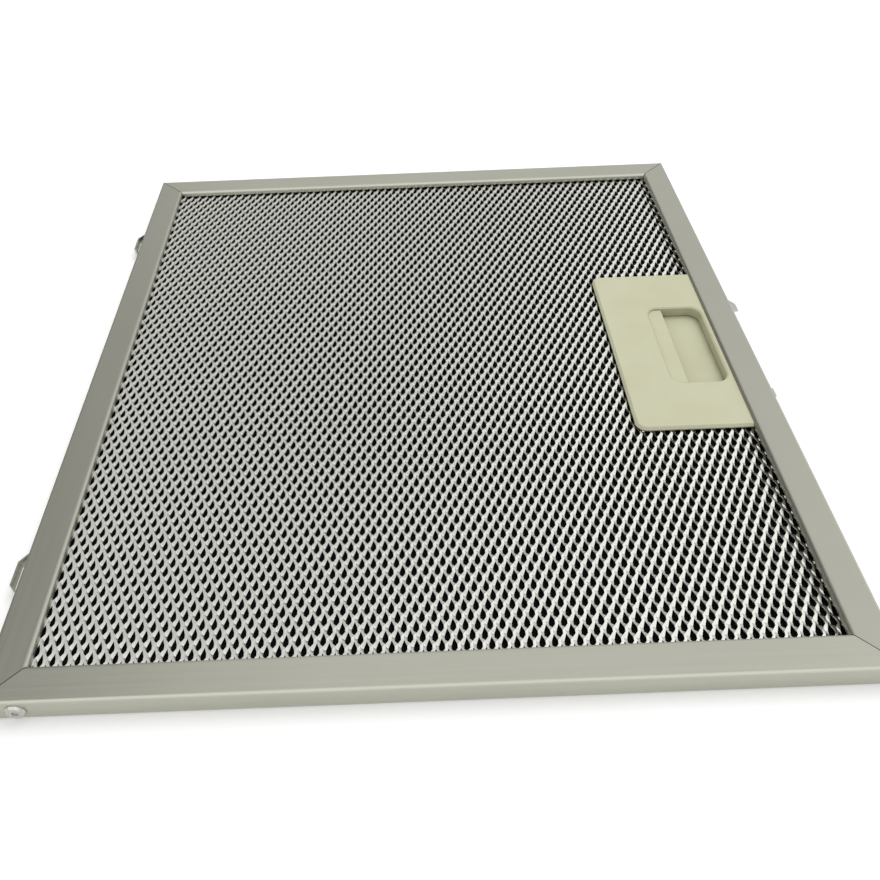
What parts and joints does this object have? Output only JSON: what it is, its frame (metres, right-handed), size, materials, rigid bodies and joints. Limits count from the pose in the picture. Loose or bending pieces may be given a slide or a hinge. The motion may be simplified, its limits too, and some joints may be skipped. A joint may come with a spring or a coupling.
{
  "type": "cooker hood carbon filter",
  "caption": "Flat cooker hood filter: folded aluminium frame, expanded metal mesh over a black carbon mat, side lugs and a beige handle with a sprung slide latch.",
  "frame": {"origin": "centre of the filter in plan, at its rear face", "axes": "+Z out of the visible front face, +X to the latch side, +Y away from the riveted side"},
  "size_m": [0.2763, 0.306, 0.009],
  "materials": {
    "frame_aluminium": "satin, rolled",
    "rivet_aluminium": "satin",
    "mesh_aluminium": "bright",
    "carbon": "matt, granular",
    "beige_plastic": "fine moulded texture",
    "bolt_steel": "plated",
    "spring_steel": "rolled strip"
  },
  "bodies": {
    "filter": {"frame": "frame_aluminium", "corner_rivet": "rivet_aluminium", "front_mesh": "mesh_aluminium", "rear_mesh": "mesh_aluminium", "carbon_mat": "carbon", "handle_plate": "beige_plastic", "handle_back": "beige_plastic", "latch_spring": "spring_steel"},
    "latch": {"latch_slider": "beige_plastic", "latch_bolt": "bolt_steel"}
  },
  "joints": [
    {"name": "latch_slide", "type": "slide", "parent": "filter", "child": "latch", "axis": [-1, 0, 0], "range_m": [0, 0.005], "stiffness_N_per_m": 300, "springref_m": -0.005, "deforming": ["latch_spring"]}
  ]
}
